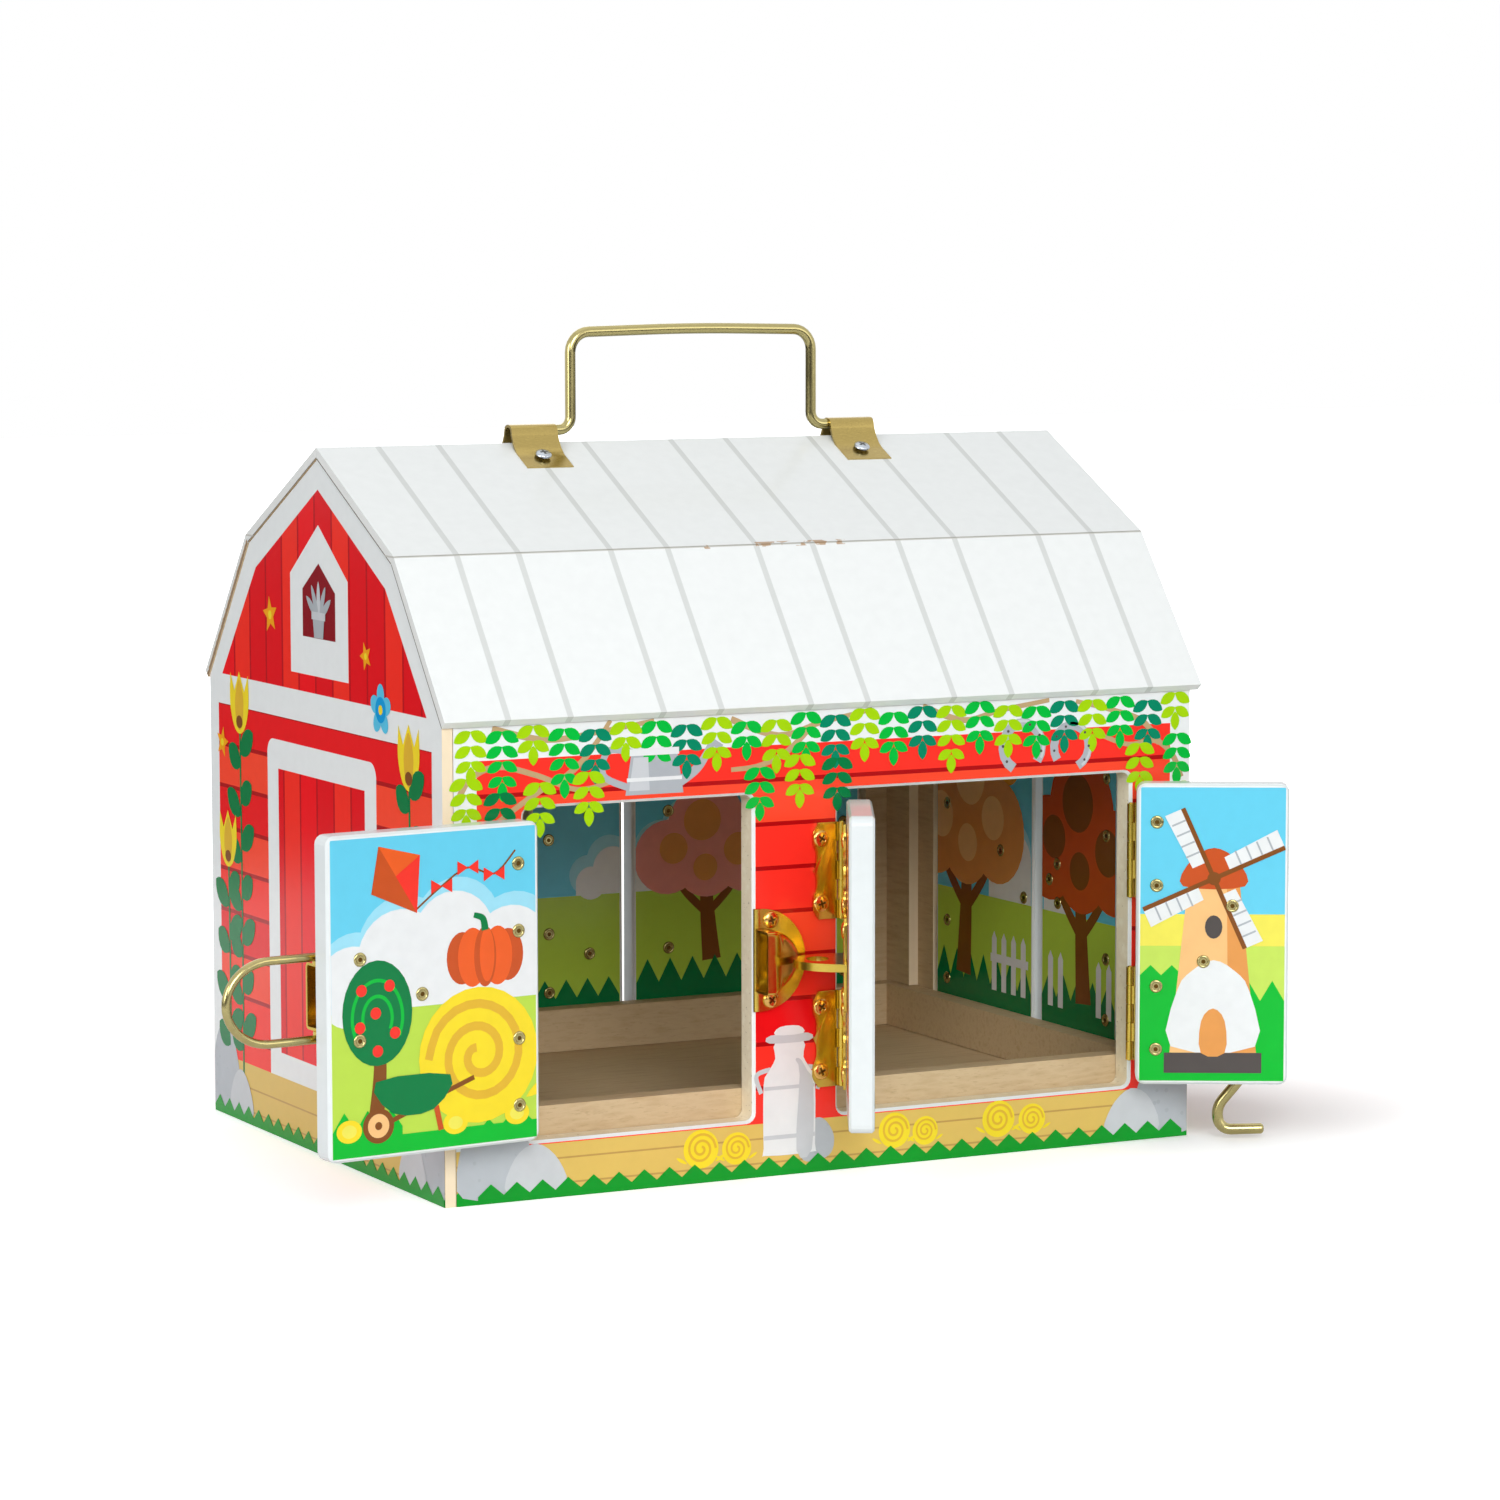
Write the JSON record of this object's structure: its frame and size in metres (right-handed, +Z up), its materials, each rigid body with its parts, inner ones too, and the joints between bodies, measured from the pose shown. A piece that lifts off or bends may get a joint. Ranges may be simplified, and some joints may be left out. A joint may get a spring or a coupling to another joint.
{
  "type": "toy barn with opening doors",
  "caption": "Wooden toy barn box with a gambrel roof, hinged door leaves on three sides, a draw latch, cabin hook, barrel bolt and a folding carrying handle.",
  "frame": {"origin": "middle of the barn's footprint, on the ground under the floor board", "axes": "+X along the ridge towards the end wall with doors, -Y out of the front wall, +Z up; the front doors stand open at rest"},
  "size_m": [0.4358, 0.3008, 0.3204],
  "materials": {
    "painted_walls": "printed gloss paint, barn red with white and green borders",
    "painted_roof": "gloss white paint with thin grey stripes",
    "painted_doors": "printed gloss paint, sky over fields inside, barn red outside",
    "raw_wood": "bare sanded plywood",
    "brass": "polished brass plate"
  },
  "bodies": {
    "barn_body": {"left_gable_wall": "painted_walls", "right_gable_wall": "painted_walls", "front_wall": "painted_walls", "back_wall": "painted_walls", "floor_panel": "raw_wood", "floor_rails": "raw_wood", "roof_lower_front": "painted_roof", "roof_upper_front": "painted_roof", "roof_upper_back": "painted_roof", "roof_lower_back": "painted_roof", "handle_saddle_left": "brass", "handle_saddle_right": "brass", "latch_keeper": "brass", "front_door_left_lower_hinge_wall_leaf": "brass", "front_door_left_upper_hinge_wall_leaf": "brass", "front_door_middle_lower_hinge_wall_leaf": "brass", "front_door_middle_upper_hinge_wall_leaf": "brass", "front_door_right_lower_hinge_wall_leaf": "brass", "front_door_right_upper_hinge_wall_leaf": "brass", "back_door_small_lower_hinge_wall_leaf": "brass", "back_door_small_upper_hinge_wall_leaf": "brass", "back_door_large_lower_hinge_wall_leaf": "brass", "back_door_large_upper_hinge_wall_leaf": "brass", "end_door_back_lower_hinge_wall_leaf": "brass", "end_door_back_upper_hinge_wall_leaf": "brass", "end_door_front_lower_hinge_wall_leaf": "brass", "end_door_front_upper_hinge_wall_leaf": "brass"},
    "handle": {"carry_handle": "brass"},
    "left_front_door": {"front_door_left": "painted_doors", "front_door_left_lower_hinge_door_leaf": "brass", "front_door_left_upper_hinge_door_leaf": "brass", "latch_plate": "brass"},
    "lever": {"latch_lever": "brass"},
    "loop": {"latch_loop": "brass"},
    "middle_front_door": {"front_door_middle": "painted_doors", "front_door_middle_lower_hinge_door_leaf": "brass", "front_door_middle_upper_hinge_door_leaf": "brass", "hook_eye_plate": "brass"},
    "right_front_door": {"front_door_right": "painted_doors", "front_door_right_lower_hinge_door_leaf": "brass", "front_door_right_upper_hinge_door_leaf": "brass", "hook_base_plate": "brass"},
    "front_hook": {"cabin_hook": "brass"},
    "small_back_door": {"back_door_small": "painted_doors", "back_door_small_lower_hinge_door_leaf": "brass", "back_door_small_upper_hinge_door_leaf": "brass"},
    "large_back_door": {"back_door_large": "painted_doors", "back_door_large_lower_hinge_door_leaf": "brass", "back_door_large_upper_hinge_door_leaf": "brass"},
    "upper_back_hook": {"back_hook_upper": "brass"},
    "lower_back_hook": {"back_hook_lower": "brass"},
    "back_end_door": {"end_door_back": "painted_doors", "end_door_back_lower_hinge_door_leaf": "brass", "end_door_back_upper_hinge_door_leaf": "brass", "bolt_plate": "brass"},
    "front_end_door": {"end_door_front": "painted_doors", "end_door_front_lower_hinge_door_leaf": "brass", "end_door_front_upper_hinge_door_leaf": "brass", "bolt_keeper": "brass"},
    "bolt": {"bolt_rod": "brass"}
  },
  "joints": [
    {"name": "left_front_door_hinge", "type": "hinge", "parent": "barn_body", "child": "left_front_door", "pos_m": [-0.1268, -0.118, 0.084], "axis": [0, 0, -1], "range_deg": [-173.6, 0]},
    {"name": "middle_front_door_hinge", "type": "hinge", "parent": "barn_body", "child": "middle_front_door", "pos_m": [0.0041, -0.118, 0.084], "axis": [0, 0, -1], "range_deg": [-117.2, 0]},
    {"name": "right_front_door_hinge", "type": "hinge", "parent": "barn_body", "child": "right_front_door", "pos_m": [0.1322, -0.118, 0.084], "axis": [0, 0, 1], "range_deg": [-150.6, 14.4]},
    {"name": "small_back_door_hinge", "type": "hinge", "parent": "barn_body", "child": "small_back_door", "pos_m": [-0.0247, 0.118, 0.084], "axis": [0, 0, -1], "range_deg": [-150, 0]},
    {"name": "large_back_door_hinge", "type": "hinge", "parent": "barn_body", "child": "large_back_door", "pos_m": [0.1358, 0.118, 0.084], "axis": [0, 0, 1], "range_deg": [-170, 0]},
    {"name": "back_end_door_hinge", "type": "hinge", "parent": "barn_body", "child": "back_end_door", "pos_m": [0.1617, 0.0727, 0.089], "axis": [0, 0, 1], "range_deg": [0, 170]},
    {"name": "front_end_door_hinge", "type": "hinge", "parent": "barn_body", "child": "front_end_door", "pos_m": [0.1617, -0.0795, 0.089], "axis": [0, 0, 1], "range_deg": [-150, 0]},
    {"name": "handle_pivot", "type": "hinge", "parent": "barn_body", "child": "handle", "pos_m": [0, 0, 0.2792], "axis": [1, 0, 0], "range_deg": [-110, 110]},
    {"name": "latch_lever_pivot", "type": "hinge", "parent": "left_front_door", "child": "lever", "pos_m": [-0.21207, -0.12485, 0.0832], "axis": [0, 0, 1], "range_deg": [0, 95]},
    {"name": "latch_loop_pivot", "type": "hinge", "parent": "left_front_door", "child": "loop", "pos_m": [-0.21207, -0.12485, 0.0832], "axis": [0, 0, -1], "range_deg": [0, 173.6]},
    {"name": "front_hook_pivot", "type": "hinge", "parent": "right_front_door", "child": "front_hook", "pos_m": [0.16055, -0.13593, 0.0755], "axis": [-0.4909, -0.8712, 0], "range_deg": [0, 90]},
    {"name": "upper_back_hook_pivot", "type": "hinge", "parent": "small_back_door", "child": "upper_back_hook", "pos_m": [0.0045, 0.118, 0.11252], "axis": [0, -1, 0], "range_deg": [0, 90]},
    {"name": "lower_back_hook_pivot", "type": "hinge", "parent": "small_back_door", "child": "lower_back_hook", "pos_m": [0.0045, 0.118, 0.05424], "axis": [0, -1, 0], "range_deg": [0, 90]},
    {"name": "bolt_slide", "type": "slide", "parent": "back_end_door", "child": "bolt", "axis": [0, -1, 0], "range_m": [0, 0.0124]}
  ],
  "couplings": [
    {"joint": "latch_loop_pivot", "follows": "left_front_door_hinge", "ratio": -1}
  ]
}
